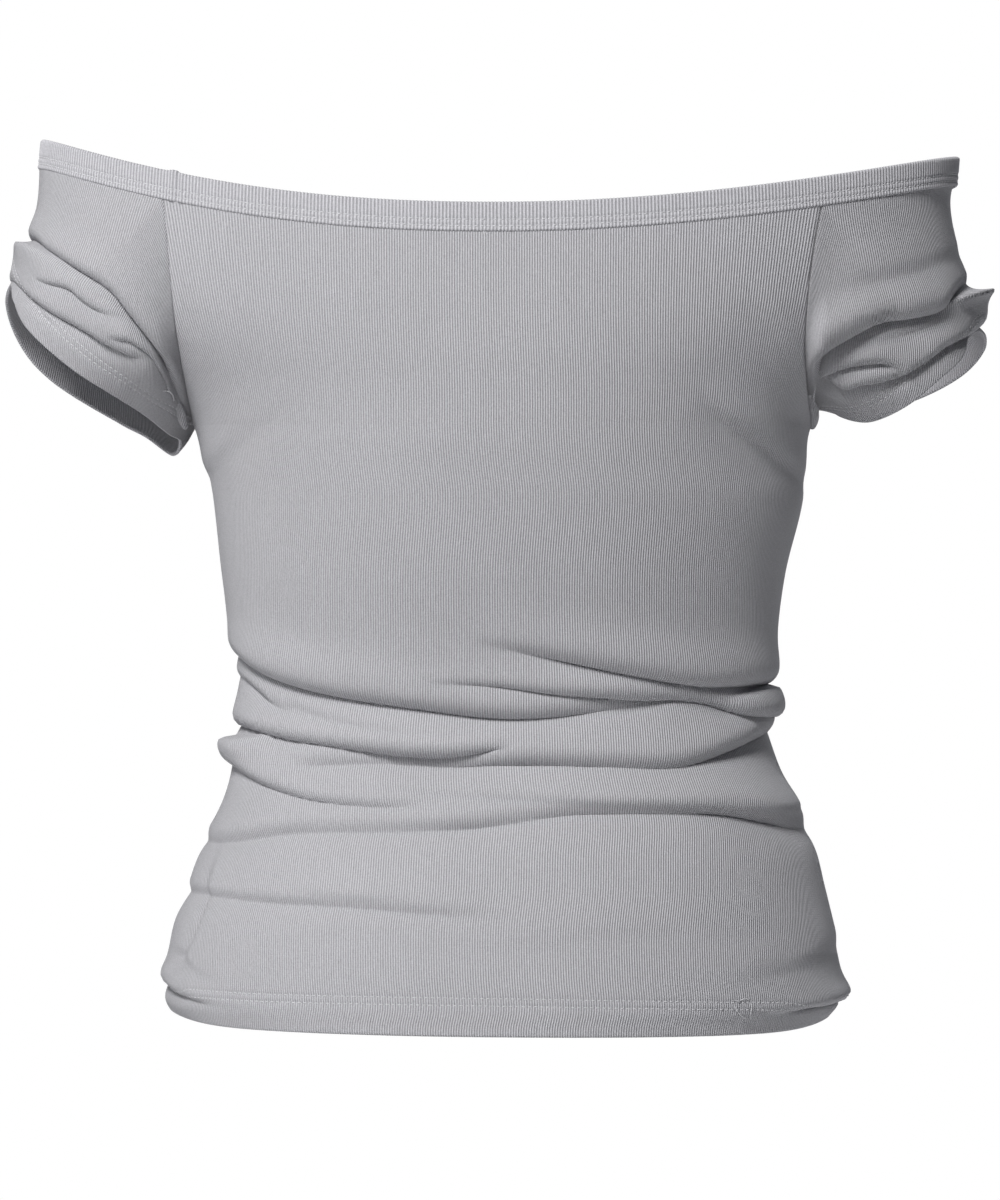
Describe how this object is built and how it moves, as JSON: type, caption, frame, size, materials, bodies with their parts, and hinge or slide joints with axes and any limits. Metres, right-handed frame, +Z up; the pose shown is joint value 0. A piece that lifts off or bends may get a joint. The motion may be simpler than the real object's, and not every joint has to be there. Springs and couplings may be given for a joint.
{
  "type": "off-the-shoulder rib jersey top",
  "caption": "Short-sleeved off-the-shoulder top in fine rib jersey, hollow and in its worn shape, open at the neckline, both sleeves and the hem.",
  "frame": {"origin": "middle of the neckband's loop, where the wearer's upper arms and chest hold the top", "axes": "+Z up, +X towards the wearer's right side, +Y out of the front of the top, so that its back faces -Y"},
  "size_m": [0.455, 0.2188, 0.4058],
  "materials": {
    "rib_jersey": "soft matte grey rib jersey",
    "neckband_jersey": "soft matte grey rib jersey"
  },
  "bodies": {
    "root": {"back_panel": "rib_jersey", "front_panel": "rib_jersey", "sleeve_left": "rib_jersey", "sleeve_right": "rib_jersey", "neckband": "neckband_jersey"}
  },
  "joints": []
}
